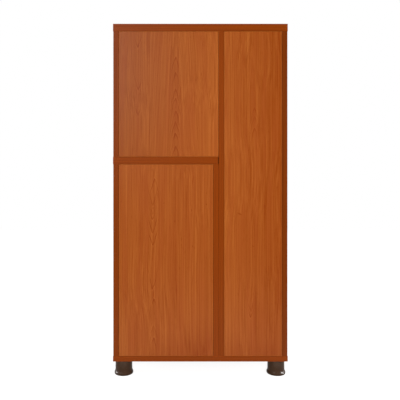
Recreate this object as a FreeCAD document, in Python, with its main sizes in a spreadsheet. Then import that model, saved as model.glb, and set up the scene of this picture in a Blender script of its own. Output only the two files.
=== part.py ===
import FreeCAD, Part
import math
import os

import Sketcher

# Office cabinet: three bays behind inset doors, standing on four levelling feet.
# Millimetres. The front faces -Y, +X is to the right, +Z is up, and the floor is at Z = 0.

driving_sizes = {
    # Overall
    "overall_width": 600,
    "overall_depth": 400,
    "lower_opening_height": 660,
    "upper_opening_height": 432,
    "tall_opening_width": 200,
    # Boards
    "top_thickness": 25,
    "mid_thickness": 25,
    "base_thickness": 18,
    "side_thickness": 18,
    "side_inset": 1,
    "unit_gap": 0.4,
    "mid_end_gap": 2.3,
    "board_edging": 2,
    "edging_round": 0.5,
    # Back panels
    "back_thickness": 4,
    "back_inset": 12,
    "groove_depth": 6,
    "groove_side_clearance": 0.2,
    "groove_end_clearance": 0.5,
    # Shelves and their pins
    "shelf_thickness": 18,
    "shelf_setback": 24,
    "shelf_side_clearance": 1,
    "shelf_back_clearance": 0.8,
    "pin_diameter": 5,
    "pin_embed": 8,
    "pin_reach": 9,
    "pin_collar_diameter": 8,
    "pin_collar_thickness": 0.8,
    "pin_row_inset": 50,
    "pin_pitch": 32,
    "pin_hole_spare": 1,
    # Cam fittings and dowels
    "cam_diameter": 15,
    "cam_thickness": 12.5,
    "cam_bore_spare": 0.9,
    "cam_distance": 34,
    "cam_cross_length": 10,
    "cam_cross_width": 2,
    "cam_cross_depth": 2.5,
    "bolt_shank_diameter": 7,
    "bolt_channel_diameter": 8,
    "bolt_thread_diameter": 5,
    "bolt_thread_length": 11,
    "bolt_cam_clearance": 0.2,
    "dowel_diameter": 8,
    "dowel_length": 30,
    "dowel_depth": 11,
    "dowel_chamfer": 1,
    "dowel_hole_spare": 0.5,
    "cam_front_inset": 70,
    "cam_rear_inset": 70,
    "dowel_offset": 32,
    # Bolts that join the lower unit to the divider
    "connector_head_diameter": 14,
    "connector_head_thickness": 1.5,
    "connector_sleeve_diameter": 8,
    "connector_bolt_diameter": 5,
    "connector_sleeve_spare": 6,
    "connector_end_distance": 150,
    # Doors
    "door_thickness": 18,
    "door_recess": 0.5,
    "door_gap": 0.7,
    "door_edging": 1,
    "door_edging_round": 0.5,
    # Hinges
    "hinge_end_distance": 90,
    "door_opening_degrees": 95,
    "swing_clearance": 0.2,
    "hinge_pin_setback": 27,
    "hinge_pin_depth": 6.6,
    "hinge_pin_diameter": 3,
    "hinge_running_clearance": 0.05,
    "hinge_eye_wall": 1,
    "arm_thickness": 2.5,
    "arm_width": 11,
    "arm_clearance": 1,
    "arm_bend_radius": 2,
    "arm_flat_length": 34,
    "cup_diameter": 35,
    "cup_wall": 0.8,
    "cup_offset": 3,
    "cup_door_skin": 3,
    "cup_flange_thickness": 1,
    "cup_flange_length": 58,
    "cup_flange_width": 40,
    "cup_flange_end_width": 20,
    "cup_ear_half_width": 2.8,
    "cup_ear_gap": 0.5,
    "cup_ear_thickness": 5,
    "plate_thickness": 4,
    "plate_width": 15,
    "plate_tail": 6,
    "plate_wing_span": 50,
    "plate_wing_width": 16,
    "plate_wing_thickness": 2.5,
    "plate_corner": 3,
    # Push latches
    "latch_end_distance": 70,
    "latch_offset": 10,
    "latch_tube_diameter": 13,
    "latch_tube_length": 58,
    "latch_bore_depth": 52,
    "latch_plate_length": 40,
    "latch_plate_width": 34,
    "latch_plate_thickness": 2.5,
    "latch_web_width": 6,
    "latch_travel": 3,
    "latch_contact_gap": 0.3,
    "latch_stop_gap": 0.7,
    "plunger_diameter": 7,
    "plunger_clearance": 0.1,
    "plunger_length": 42,
    "plunger_head_diameter": 11,
    "plunger_head_thickness": 4,
    "strike_diameter": 14,
    "strike_thickness": 1,
    # Feet
    "foot_height": 51,
    "foot_top_diameter": 58,
    "foot_diameter": 59,
    "foot_rim_diameter": 65.2,
    "foot_rim_height": 7,
    "foot_flare_height": 14,
    "foot_flare_radius": 9,
    "foot_rim_radius": 2.6,
    "foot_wall": 3.5,
    "foot_top_wall": 4,
    "foot_boss_diameter": 18,
    "foot_boss_clearance": 8,
    "foot_rib_thickness": 2.4,
    "foot_edge_inset": 33.5,
    "stud_diameter": 10,
    "stud_engagement": 12.5,
    "stud_chamfer": 1,
    "stud_thread_clearance": 0.05,
    "nut_diameter": 13,
    "nut_length": 13,
    "nut_hole_spare": 1,
}

pin_holes_each_way = 2
foot_ribs = 6

doc = FreeCAD.newDocument("OfficeCabinet")
sheet = doc.addObject("Spreadsheet::Sheet", "Sizes")
for row, (name, number) in enumerate(driving_sizes.items(), start=1):
    sheet.set(f"A{row}", name)
    sheet.set(f"B{row}", str(number))
    sheet.setAlias(f"B{row}", name)
doc.recompute()


class Size:
    """A length with the spreadsheet expression that it is worked out from."""

    def __init__(self, value, text):
        self.value = value
        self.text = text

    def __add__(self, other):
        other = as_size(other)
        return Size(self.value + other.value, f"({self.text} + {other.text})")

    def __sub__(self, other):
        other = as_size(other)
        return Size(self.value - other.value, f"({self.text} - {other.text})")

    def __mul__(self, other):
        other = as_size(other)
        return Size(self.value * other.value, f"({self.text} * {other.text})")

    def __truediv__(self, other):
        other = as_size(other)
        return Size(self.value / other.value, f"({self.text} / {other.text})")

    def __neg__(self):
        return Size(-self.value, f"(-1 * {self.text})")


def as_size(number):
    return number if isinstance(number, Size) else Size(number, str(number))


def hypotenuse(a, b):
    return Size(math.hypot(a.value, b.value), f"sqrt({a.text} * {a.text} + {b.text} * {b.text})")


def sine(degrees):
    return Size(math.sin(math.radians(degrees.value)), f"sin({degrees.text} * 1 deg)")


def cosine(degrees):
    return Size(math.cos(math.radians(degrees.value)), f"cos({degrees.text} * 1 deg)")


class Sizes:
    """Every driving size, by its name in the spreadsheet."""

    def __init__(self, numbers):
        for name, number in numbers.items():
            setattr(self, name, Size(number, f"Sizes.{name}"))


size = Sizes(driving_sizes)
zero = Size(0, "0")

# Document helpers

nodes = {}
machining = {}

along = {
    "+x": FreeCAD.Rotation(FreeCAD.Vector(0, 1, 0), 90),
    "-x": FreeCAD.Rotation(FreeCAD.Vector(0, 1, 0), -90),
    "+y": FreeCAD.Rotation(FreeCAD.Vector(1, 0, 0), -90),
    "-y": FreeCAD.Rotation(FreeCAD.Vector(1, 0, 0), 90),
    "+z": FreeCAD.Rotation(),
    "-z": FreeCAD.Rotation(FreeCAD.Vector(1, 0, 0), 180),
}
half_turn = FreeCAD.Rotation(FreeCAD.Vector(0, 1, 0), 180)


def bind(thing, setting, amount):
    thing.setExpression(setting, as_size(amount).text)


def place(thing, x, y, z):
    for axis, amount in zip("xyz", (x, y, z)):
        bind(thing, f"Placement.Base.{axis}", amount)


def keep(name, thing):
    thing.Label = name
    nodes[name] = thing
    return thing


def block(name, x, y, z):
    """A box between a low and a high limit on each axis."""
    box = doc.addObject("Part::Box", name)
    for setting, (low, high) in zip(("Length", "Width", "Height"), (x, y, z)):
        bind(box, setting, high - low)
    place(box, x[0], y[0], z[0])
    return box


def group(name, members):
    """One node of separate solids."""
    node = doc.addObject("Part::Compound", name)
    node.Links = members
    return keep(name, node)


def copy_of(master, turn, x, y, z):
    link = doc.addObject("App::Link", f"{master.Name}_copy")
    link.LinkedObject = master
    link.Placement = FreeCAD.Placement(FreeCAD.Vector(), turn)
    place(link, x, y, z)
    return link


def drill(board, direction, diameter, depth, x, y, z):
    """Adds a round hole, from a point on the board's face, to what is machined into the board."""
    tool = doc.addObject("Part::Cylinder", f"{board}_hole")
    tool.Placement = FreeCAD.Placement(FreeCAD.Vector(), along[direction])
    bind(tool, "Radius", diameter / 2)
    bind(tool, "Height", depth)
    place(tool, x, y, z)
    machining.setdefault(board, []).append(tool)


def board(name, x, y, z):
    """A board with the holes and grooves that its fittings asked for."""
    tools = doc.addObject("Part::MultiFuse", f"{name}_machining")
    tools.Shapes = machining[name]
    node = doc.addObject("Part::Cut", name)
    node.Base = block(f"{name}_blank", x, y, z)
    node.Tool = tools
    return keep(name, node)


# Sketch and feature helpers

def new_body(name):
    return doc.addObject("PartDesign::Body", name)


def new_sketch(body, plane, offset=None):
    """A sketch on one of the body's origin planes, moved along that plane's normal by the offset."""
    sketch = body.newObject("Sketcher::SketchObject", f"{body.Name}_sketch")
    support = next(f for f in body.Origin.OriginFeatures if f.Role == plane)
    sketch.AttachmentSupport = [(support, "")]
    sketch.MapMode = "FlatFace"
    if offset is not None:
        bind(sketch, "AttachmentOffset.Base.z", offset)
    return sketch


def tie_point(sketch, geometry, point, x, y):
    """Fixes one sketch point at its named coordinates."""
    for kind, axis, amount in (("DistanceX", -2, x), ("DistanceY", -1, y)):
        if amount is zero:
            sketch.addConstraint(Sketcher.Constraint("PointOnObject", geometry, point, axis))
            continue
        index = sketch.addConstraint(Sketcher.Constraint(kind, -1, 1, geometry, point, amount.value))
        sketch.setExpression(f"Constraints[{index}]", amount.text)


def draw_outline(sketch, points):
    """A closed outline of straight lines through named points."""
    first = sketch.GeometryCount
    count = len(points)
    corners = [FreeCAD.Vector(x.value, y.value, 0) for x, y in points]
    for i in range(count):
        sketch.addGeometry(Part.LineSegment(corners[i], corners[(i + 1) % count]), False)
    for i in range(count):
        joint = Sketcher.Constraint("Coincident", first + i, 2, first + (i + 1) % count, 1)
        sketch.addConstraint(joint)
    for i, (x, y) in enumerate(points):
        tie_point(sketch, first + i, 1, x, y)
    return sketch


def draw_circle(sketch, x, y, radius):
    centre = FreeCAD.Vector(x.value, y.value, 0)
    index = sketch.addGeometry(Part.Circle(centre, FreeCAD.Vector(0, 0, 1), radius.value), False)
    tie_point(sketch, index, 3, x, y)
    constraint = sketch.addConstraint(Sketcher.Constraint("Radius", index, radius.value))
    sketch.setExpression(f"Constraints[{constraint}]", radius.text)
    return sketch


def pad(body, sketch, length, side="One side"):
    feature = body.newObject("PartDesign::Pad", f"{body.Name}_pad")
    feature.Profile = sketch
    feature.SideType = side
    bind(feature, "Length", length)
    return feature


def pocket(body, sketch, length, side="One side", flip=False):
    """Cuts the sketch out of the body and makes sure that it took material away."""
    doc.recompute()
    before = body.Shape.Volume
    feature = body.newObject("PartDesign::Pocket", f"{body.Name}_pocket")
    feature.Profile = sketch
    feature.SideType = side
    feature.Reversed = flip
    bind(feature, "Length", length)
    doc.recompute()
    if body.Shape.Volume >= before:
        raise ValueError(f"{feature.Name} cut nothing")
    return feature


def revolve(body, points):
    """A solid of revolution about the body's Z axis, from an outline of radius and height."""
    feature = body.newObject("PartDesign::Revolution", f"{body.Name}_revolution")
    sketch = draw_outline(new_sketch(body, "XZ_Plane"), points)
    feature.Profile = sketch
    feature.ReferenceAxis = (sketch, ["V_Axis"])
    feature.Angle = 360
    return feature


def turned(name, points):
    body = new_body(name)
    revolve(body, points)
    return body


def round_edges(body, radius, wanted):
    """Rounds the edges of the body that the test picks out."""
    doc.recompute()
    base = body.Tip
    names = [f"Edge{i}" for i, edge in enumerate(base.Shape.Edges, start=1) if wanted(edge)]
    if not names:
        raise ValueError(f"no edge to round on {body.Name}")
    feature = body.newObject("PartDesign::Fillet", f"{body.Name}_fillet")
    feature.Base = (base, names)
    bind(feature, "Radius", radius)
    doc.recompute()
    return feature


def upright_at(x, y):
    """Picks the straight edges along Z that stand at one point of the outline."""
    def wanted(edge):
        ends = [vertex.Point for vertex in edge.Vertexes]
        if len(ends) != 2:
            return False
        return all(math.hypot(p.x - x.value, p.y - y.value) < 1e-4 for p in ends)
    return wanted


def ring_at(radius, z):
    """Picks the circles about Z of one radius at one height."""
    def wanted(edge):
        curve = edge.Curve
        if not isinstance(curve, Part.Circle):
            return False
        return abs(curve.Radius - radius.value) < 1e-4 and abs(curve.Center.z - z.value) < 1e-4
    return wanted


# Layout: the faces that everything lines up with

half_width = size.overall_width / 2
front = -(size.overall_depth / 2)
rear = size.overall_depth / 2
core_front = front + size.board_edging

base_bottom = size.foot_height
base_top = base_bottom + size.base_thickness
mid_bottom = base_top + size.lower_opening_height
mid_top = mid_bottom + size.mid_thickness
top_bottom = mid_top + size.upper_opening_height
top_top = top_bottom + size.top_thickness

left_outer = size.side_inset - half_width
left_face = left_outer + size.side_thickness
right_outer = half_width - size.side_inset
right_face = right_outer - size.side_thickness
divider_right = right_face - size.tall_opening_width
divider_left = divider_right - size.side_thickness
unit_outer = divider_left - size.unit_gap
unit_face = unit_outer - size.side_thickness
mid_right = divider_left - size.mid_end_gap

door_front = front + size.door_recess
door_back = door_front + size.door_thickness
back_rear = rear - size.back_inset
back_front = back_rear - size.back_thickness

# The outline of each upright board: its two faces, its ends, and the face that its fittings open to
uprights = {
    "lower_left_side_panel": {"x": (left_outer, left_face), "z": (base_top, mid_bottom)},
    "lower_right_side_panel": {"x": (unit_face, unit_outer), "z": (base_top, mid_bottom)},
    "upper_left_side_panel": {"x": (left_outer, left_face), "z": (mid_top, top_bottom)},
    "divider_panel": {"x": (divider_left, divider_right), "z": (base_top, top_bottom)},
    "right_side_panel": {"x": (right_face, right_outer), "z": (base_top, top_bottom)},
}
# Each bay: its clear opening and the boards on its four sides
bays = {
    "lower": {
        "x": (left_face, unit_face),
        "z": (base_top, mid_bottom),
        "boards": ("lower_left_side_panel", "lower_right_side_panel", "base_panel", "mid_panel"),
        "shelves": ("lower_shelf",),
    },
    "upper": {
        "x": (left_face, divider_left),
        "z": (mid_top, top_bottom),
        "boards": ("upper_left_side_panel", "divider_panel", "mid_panel", "top_panel"),
        "shelves": ("upper_shelf",),
    },
    "tall": {
        "x": (divider_right, right_face),
        "z": (base_top, top_bottom),
        "boards": ("divider_panel", "right_side_panel", "base_panel", "top_panel"),
        "shelves": ("tall_lower_shelf", "tall_upper_shelf"),
    },
}


# Back panels, let into grooves on all four sides of their bay

def back_panel(name, bay):
    def limits(span, depth):
        return (span[0] - depth, span[1] + depth)

    embed = size.groove_depth - size.groove_end_clearance
    x, z = bay["x"], bay["z"]
    panel = block(f"{name}_back_panel", limits(x, embed), (back_front, back_rear), limits(z, embed))
    keep(f"{name}_back_panel", panel)
    clearance = size.groove_side_clearance
    groove = block(
        f"{name}_groove",
        limits(x, size.groove_depth),
        (back_front - clearance, back_rear + clearance),
        limits(z, size.groove_depth),
    )
    for board_name in bay["boards"]:
        machining.setdefault(board_name, []).append(groove)


for bay_name, bay in bays.items():
    back_panel(bay_name, bay)


# Shelves on pins, with a row of spare pin holes above and below each pin

pin_radius = size.pin_diameter / 2
shelf_pin = turned("shelf_pin", [
    (zero, -size.pin_embed),
    (pin_radius, -size.pin_embed),
    (pin_radius, zero),
    (size.pin_collar_diameter / 2, zero),
    (size.pin_collar_diameter / 2, size.pin_collar_thickness),
    (pin_radius, size.pin_collar_thickness),
    (pin_radius, size.pin_reach),
    (zero, size.pin_reach),
])
shelf_front = door_back + size.shelf_setback
shelf_rear = back_front - size.shelf_back_clearance
pin_rows = (shelf_front + size.pin_row_inset, shelf_rear - size.pin_row_inset)
shelf_pins = []
shelf_bands = []


def shelf(name, bay, bottom):
    x = (bay["x"][0] + size.shelf_side_clearance, bay["x"][1] - size.shelf_side_clearance)
    z = (bottom, bottom + size.shelf_thickness)
    keep(name, block(name, x, (shelf_front + size.board_edging, shelf_rear), z))
    y = (shelf_front, shelf_front + size.board_edging)
    shelf_bands.append(edge_band(f"{name}_band", x, y, z, "-y", size.edging_round))
    left_board, right_board = bay["boards"][:2]
    sides = ((left_board, bay["x"][0], "-x", "+x"), (right_board, bay["x"][1], "+x", "-x"))
    pin_height = bottom - pin_radius
    for board_name, face, into_board, into_bay in sides:
        for y in pin_rows:
            shelf_pins.append(copy_of(shelf_pin, along[into_bay], face, y, pin_height))
            for step in range(-pin_holes_each_way, pin_holes_each_way + 1):
                height = pin_height + size.pin_pitch * step
                depth = size.pin_embed + size.pin_hole_spare
                drill(board_name, into_board, size.pin_diameter, depth, face, y, height)


# Turns a body's Z axis along X, along Y, or not at all
lengthwise = (
    FreeCAD.Rotation(FreeCAD.Vector(1, 1, 1), 120),
    FreeCAD.Rotation(FreeCAD.Vector(1, 1, 1), -120),
    FreeCAD.Rotation(),
)


def edge_band(name, x, y, z, face, radius):
    """A flat band, with the two long edges of one of its faces rounded."""
    spans = (x, y, z)
    lengths = [high - low for low, high in spans]
    run = max(range(3), key=lambda axis: lengths[axis].value)
    across, up = (run + 1) % 3, (run + 2) % 3
    wide, high = lengths[across], lengths[up]
    body = new_body(name)
    outline = [(zero, zero), (wide, zero), (wide, high), (zero, high)]
    pad(body, draw_outline(new_sketch(body, "XY_Plane"), outline), lengths[run])
    body.Placement = FreeCAD.Placement(FreeCAD.Vector(), lengthwise[run])
    place(body, x[0], y[0], z[0])
    axis = "xyz".index(face[1])
    level = lengths[axis] if face[0] == "+" else zero
    corners = ((level, zero), (level, high)) if axis == across else ((zero, level), (wide, level))
    round_edges(body, radius, lambda edge: any(upright_at(*corner)(edge) for corner in corners))
    return body


for bay_name, bay in bays.items():
    low, high = bay["z"]
    spaces = len(bay["shelves"]) + 1
    tier = (high - low - size.shelf_thickness * len(bay["shelves"])) / spaces
    for count, shelf_name in enumerate(bay["shelves"]):
        shelf(shelf_name, bay, low + tier * (count + 1) + size.shelf_thickness * count)
group("shelf_pins", shelf_pins)
group("shelf_edge_bands", shelf_bands)


# Cam fittings and dowels: two of each at both ends of every upright

cam_radius = size.cam_diameter / 2
shank_end = size.cam_distance - cam_radius - size.bolt_cam_clearance
cam_bolt = turned("cam_bolt", [
    (zero, -size.bolt_thread_length),
    (size.bolt_thread_diameter / 2, -size.bolt_thread_length),
    (size.bolt_thread_diameter / 2, zero),
    (size.bolt_shank_diameter / 2, zero),
    (size.bolt_shank_diameter / 2, shank_end),
    (zero, shank_end),
])
dowel_radius = size.dowel_diameter / 2
dowel_rise = size.dowel_length - size.dowel_depth
dowel = turned("dowel", [
    (zero, -size.dowel_depth),
    (dowel_radius - size.dowel_chamfer, -size.dowel_depth),
    (dowel_radius, size.dowel_chamfer - size.dowel_depth),
    (dowel_radius, dowel_rise - size.dowel_chamfer),
    (dowel_radius - size.dowel_chamfer, dowel_rise),
    (zero, dowel_rise),
])


def make_cam_disc():
    """A disc with a cross recess in its face, which is at Z = 0."""
    body = new_body("cam_disc")
    sketch = draw_circle(new_sketch(body, "XY_Plane", -size.cam_thickness), zero, zero, cam_radius)
    pad(body, sketch, size.cam_thickness)
    reach = size.cam_cross_length / 2
    half = size.cam_cross_width / 2
    cross = draw_outline(new_sketch(body, "XY_Plane"), [
        (half, half), (reach, half), (reach, -half), (half, -half), (half, -reach), (-half, -reach),
        (-half, -half), (-reach, -half), (-reach, half), (-half, half), (-half, reach), (half, reach),
    ])
    pocket(body, cross, size.cam_cross_depth)
    return body


cam_disc = make_cam_disc()
cam_discs = []
cam_bolts = []
dowels = []
cam_rows = (front + size.cam_front_inset, rear - size.cam_rear_inset)
dowel_rows = (cam_rows[0] + size.dowel_offset, cam_rows[1] - size.dowel_offset)


def board_joint(upright, flat_board, end, upward, open_to):
    """Joins one end of an upright to the flat board there, with cams in the face that it opens to."""
    into_upright, into_flat = ("+z", "-z") if upward else ("-z", "+z")
    centre = (uprights[upright]["x"][0] + uprights[upright]["x"][1]) / 2
    face = uprights[upright]["x"][1 if open_to == "+x" else 0]
    into_face = "-x" if open_to == "+x" else "+x"
    cam_height = end + size.cam_distance if upward else end - size.cam_distance
    for y in cam_rows:
        cam_discs.append(copy_of(cam_disc, along[open_to], face, y, cam_height))
        cam_bolts.append(copy_of(cam_bolt, along[into_upright], centre, y, end))
        bore_depth = size.cam_thickness + size.cam_bore_spare
        drill(upright, into_face, size.cam_diameter, bore_depth, face, y, cam_height)
        drill(upright, into_upright, size.bolt_channel_diameter, size.cam_distance, centre, y, end)
        drill(flat_board, into_flat, size.bolt_thread_diameter, size.bolt_thread_length, centre, y, end)
    for y in dowel_rows:
        dowels.append(copy_of(dowel, along[into_upright], centre, y, end))
        spare = size.dowel_hole_spare
        drill(upright, into_upright, size.dowel_diameter, dowel_rise + spare, centre, y, end)
        drill(flat_board, into_flat, size.dowel_diameter, size.dowel_depth + spare, centre, y, end)


board_joint("lower_left_side_panel", "base_panel", base_top, True, "+x")
board_joint("lower_left_side_panel", "mid_panel", mid_bottom, False, "+x")
board_joint("lower_right_side_panel", "base_panel", base_top, True, "-x")
board_joint("lower_right_side_panel", "mid_panel", mid_bottom, False, "-x")
board_joint("upper_left_side_panel", "mid_panel", mid_top, True, "+x")
board_joint("upper_left_side_panel", "top_panel", top_bottom, False, "+x")
board_joint("divider_panel", "base_panel", base_top, True, "+x")
board_joint("divider_panel", "top_panel", top_bottom, False, "+x")
board_joint("right_side_panel", "base_panel", base_top, True, "-x")
board_joint("right_side_panel", "top_panel", top_bottom, False, "-x")
group("cam_discs", cam_discs)
group("cam_bolts", cam_bolts)
group("dowels", dowels)


# Connector bolts through the lower unit's right side and the divider

head_radius = size.connector_head_diameter / 2
sleeve_radius = size.connector_sleeve_diameter / 2
connector_radius = size.connector_bolt_diameter / 2
wall_depth = divider_right - unit_face
sleeve_length = wall_depth - size.connector_sleeve_spare
connector_sleeve = turned("connector_sleeve", [
    (connector_radius, zero),
    (connector_radius, sleeve_length),
    (sleeve_radius, sleeve_length),
    (sleeve_radius, zero),
    (head_radius, zero),
    (head_radius, -size.connector_head_thickness),
    (zero, -size.connector_head_thickness),
    (zero, zero),
])
connector_bolt = turned("connector_bolt", [
    (zero, -size.connector_head_thickness),
    (head_radius, -size.connector_head_thickness),
    (head_radius, zero),
    (connector_radius, zero),
    (connector_radius, sleeve_length),
    (zero, sleeve_length),
])
connectors = []
for height in (base_top + size.connector_end_distance, mid_bottom - size.connector_end_distance):
    connectors.append(copy_of(connector_sleeve, along["+x"], unit_face, zero, height))
    connectors.append(copy_of(connector_bolt, along["-x"], divider_right, zero, height))
    for name, face in (("lower_right_side_panel", unit_face), ("divider_panel", divider_left)):
        drill(name, "+x", size.connector_sleeve_diameter, size.side_thickness, face, zero, height)
group("connector_bolts", connectors)


# Feet: a ribbed moulding on a threaded stud, which runs in an insert nut in the base panel

foot_top_radius = size.foot_top_diameter / 2
foot_radius = size.foot_diameter / 2
rim_radius = size.foot_rim_diameter / 2
foot_top_inside = foot_top_radius - size.foot_wall
foot_inside = foot_radius - size.foot_wall
rim_inside = rim_radius - size.foot_wall - size.foot_rim_radius
boss_radius = size.foot_boss_diameter / 2
stud_radius = size.stud_diameter / 2
stud_height = size.foot_height + size.stud_engagement
foot_ceiling = size.foot_height - size.foot_top_wall


def make_foot():
    body = turned("foot", [
        (stud_radius, size.foot_height),
        (foot_top_radius, size.foot_height),
        (foot_radius, size.foot_flare_height),
        (rim_radius, size.foot_rim_height),
        (rim_radius, zero),
        (rim_inside, zero),
        (foot_inside, size.foot_flare_height),
        (foot_top_inside, foot_ceiling),
        (boss_radius, foot_ceiling),
        (boss_radius, size.foot_boss_clearance),
        (stud_radius, size.foot_boss_clearance),
    ])
    round_edges(body, size.foot_flare_radius, ring_at(foot_radius, size.foot_flare_height))
    round_edges(body, size.foot_rim_radius, ring_at(rim_radius, size.foot_rim_height))
    round_edges(body, size.foot_rim_radius, ring_at(rim_radius, zero))
    root = (stud_radius + boss_radius) / 2
    tip = foot_top_radius - size.foot_wall / 2
    lowest = size.foot_flare_height
    outline = [(root, lowest), (tip, lowest), (tip, foot_ceiling), (root, foot_ceiling)]
    rib = pad(body, draw_outline(new_sketch(body, "XZ_Plane"), outline), size.foot_rib_thickness, "Symmetric")
    doc.recompute()
    ribs = body.newObject("PartDesign::PolarPattern", "foot_ribs")
    ribs.Originals = [rib]
    axis = next(f for f in body.Origin.OriginFeatures if f.Role == "Z_Axis")
    ribs.Axis = (axis, [""])
    ribs.Angle = 360
    ribs.Occurrences = foot_ribs
    body.Tip = ribs
    doc.recompute()
    return body


foot = make_foot()
stud = turned("stud", [
    (zero, size.foot_boss_clearance),
    (stud_radius, size.foot_boss_clearance),
    (stud_radius, stud_height - size.stud_chamfer),
    (stud_radius - size.stud_chamfer, stud_height),
    (zero, stud_height),
])
nut_bore = stud_radius + size.stud_thread_clearance
insert_nut = turned("insert_nut", [
    (nut_bore, zero),
    (size.nut_diameter / 2, zero),
    (size.nut_diameter / 2, size.nut_length),
    (nut_bore, size.nut_length),
])
insert_nuts = []
for x_name, x in (("left", size.foot_edge_inset - half_width), ("right", half_width - size.foot_edge_inset)):
    for y_name, y in (("front", front + size.foot_edge_inset), ("rear", rear - size.foot_edge_inset)):
        group(f"{y_name}_{x_name}_foot", [copy_of(foot, along["+z"], x, y, zero)])
        group(f"{y_name}_{x_name}_foot_stud", [copy_of(stud, along["+z"], x, y, zero)])
        insert_nuts.append(copy_of(insert_nut, along["+z"], x, y, base_bottom))
        hole_depth = size.nut_length + size.nut_hole_spare
        drill("base_panel", "+z", size.nut_diameter, hole_depth, x, y, base_bottom)
group("insert_nuts", insert_nuts)


# Hinges, drawn about their own pin: X runs from the side panel into the bay, Y to the rear.
# The pin sits close behind the door's front face, and far enough from the door's edge for the front
# corner to swing past the side panel. The arm reaches it by a hook inside the cup.

pin_setback = size.hinge_pin_setback
back_reach = size.door_thickness - size.hinge_pin_depth
corner = size.door_edging_round
swing = hypotenuse(pin_setback - corner, size.hinge_pin_depth - corner) + corner
hinge_gap = swing - pin_setback + size.swing_clearance
panel_reach = pin_setback + hinge_gap
pin_y = door_front + size.hinge_pin_depth
hinge_pin_radius = size.hinge_pin_diameter / 2
opening = size.door_opening_degrees
hook_inside = back_reach * sine(opening) - pin_setback * cosine(opening) + size.arm_clearance
hook_outside = hook_inside + size.arm_thickness
tail_front = hypotenuse(pin_setback, back_reach) + size.arm_clearance
tail_rear = tail_front + size.arm_thickness
flat_inside = size.plate_thickness - panel_reach
flat_outside = flat_inside + size.arm_thickness
flat_end = tail_rear + size.arm_flat_length
cup_floor = size.cup_door_skin + size.cup_wall - size.hinge_pin_depth


def make_hinge_arm():
    """A bent strip: flat on its plate, across behind the door, forward into the cup and back to the pin."""
    body = new_body("hinge_arm")
    half = size.arm_thickness / 2
    strip = draw_outline(new_sketch(body, "XY_Plane"), [
        (zero, -half),
        (hook_outside, -half),
        (hook_outside, tail_rear),
        (flat_outside, tail_rear),
        (flat_outside, flat_end),
        (flat_inside, flat_end),
        (flat_inside, tail_front),
        (hook_inside, tail_front),
        (hook_inside, half),
        (zero, half),
    ])
    pad(body, strip, size.arm_width, "Symmetric")
    inner_radius = size.arm_bend_radius
    outer_radius = size.arm_bend_radius + size.arm_thickness
    for corner in ((hook_inside, half), (hook_inside, tail_front), (flat_outside, tail_rear)):
        round_edges(body, inner_radius, upright_at(*corner))
    for corner in ((hook_outside, -half), (hook_outside, tail_rear), (flat_inside, tail_front)):
        round_edges(body, outer_radius, upright_at(*corner))
    bore = hinge_pin_radius + size.hinge_running_clearance
    eye = draw_circle(new_sketch(body, "XY_Plane"), zero, zero, bore + size.hinge_eye_wall)
    pad(body, eye, size.arm_width, "Symmetric")
    pocket(body, draw_circle(new_sketch(body, "XY_Plane"), zero, zero, bore), size.arm_width, "Symmetric")
    return body


def make_hinge_plate():
    """A cross-shaped plate on the side panel, with a raised bar that the arm lies on."""
    body = new_body("hinge_plate")
    bar = size.plate_width / 2
    wing_start = tail_rear
    wing_end = wing_start + size.plate_wing_width
    end = flat_end + size.plate_tail
    span = size.plate_wing_span / 2
    cross = [
        (tail_front, -bar), (wing_start, -bar), (wing_start, -span), (wing_end, -span), (wing_end, -bar),
        (end, -bar), (end, bar), (wing_end, bar), (wing_end, span), (wing_start, span),
        (wing_start, bar), (tail_front, bar),
    ]
    wings = draw_outline(new_sketch(body, "YZ_Plane", -panel_reach), cross)
    pad(body, wings, size.plate_wing_thickness)
    outline = [(tail_front, -bar), (end, -bar), (end, bar), (tail_front, bar)]
    raised = draw_outline(new_sketch(body, "YZ_Plane", -panel_reach), outline)
    pad(body, raised, size.plate_thickness)

    def outer_corner(edge):
        ends = [vertex.Point for vertex in edge.Vertexes]
        level = abs(ends[0].y - ends[-1].y) < 1e-4 and abs(ends[0].z - ends[-1].z) < 1e-4
        return level and abs(abs(ends[0].z) - span.value) < 1e-4

    round_edges(body, size.plate_corner, outer_corner)
    return body


def make_hinge_cup():
    """A pressed cup with a screw flange on the door's back and two ears inside that hold the pin."""
    body = new_body("hinge_cup")
    cup_radius = size.cup_diameter / 2
    cup_depth = size.door_thickness - size.cup_door_skin
    rim = back_reach + size.cup_flange_thickness
    shell = draw_circle(new_sketch(body, "XZ_Plane", -back_reach), size.cup_offset, zero, cup_radius)
    pad(body, shell, cup_depth)
    half_length = size.cup_flange_length / 2
    wide = size.cup_flange_width / 2
    narrow = size.cup_flange_end_width / 2
    shoulder = half_length - wide + narrow
    flange = draw_outline(new_sketch(body, "XZ_Plane", -rim), [
        (size.cup_offset - narrow, -half_length), (size.cup_offset + narrow, -half_length),
        (size.cup_offset + wide, -shoulder), (size.cup_offset + wide, shoulder),
        (size.cup_offset + narrow, half_length), (size.cup_offset - narrow, half_length),
        (size.cup_offset - wide, shoulder), (size.cup_offset - wide, -shoulder),
    ])
    pad(body, flange, size.cup_flange_thickness)
    inside = draw_circle(
        new_sketch(body, "XZ_Plane", -rim), size.cup_offset, zero, cup_radius - size.cup_wall
    )
    inside_depth = size.cup_flange_thickness + cup_depth - size.cup_wall
    pocket(body, inside, inside_depth, flip=True)
    ear = size.cup_ear_half_width
    ear_inside = size.arm_width / 2 + size.cup_ear_gap
    ear_outside = ear_inside + size.cup_ear_thickness
    outline = [(-ear, cup_floor), (ear, cup_floor), (ear, ear), (-ear, ear)]
    pad(body, draw_outline(new_sketch(body, "XY_Plane"), outline), ear_outside * 2, "Symmetric")
    pocket(body, draw_outline(new_sketch(body, "XY_Plane"), outline), ear_inside * 2, "Symmetric")
    hole = draw_circle(new_sketch(body, "XY_Plane"), zero, zero, hinge_pin_radius)
    pocket(body, hole, ear_outside * 2, "Symmetric")
    return body


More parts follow.
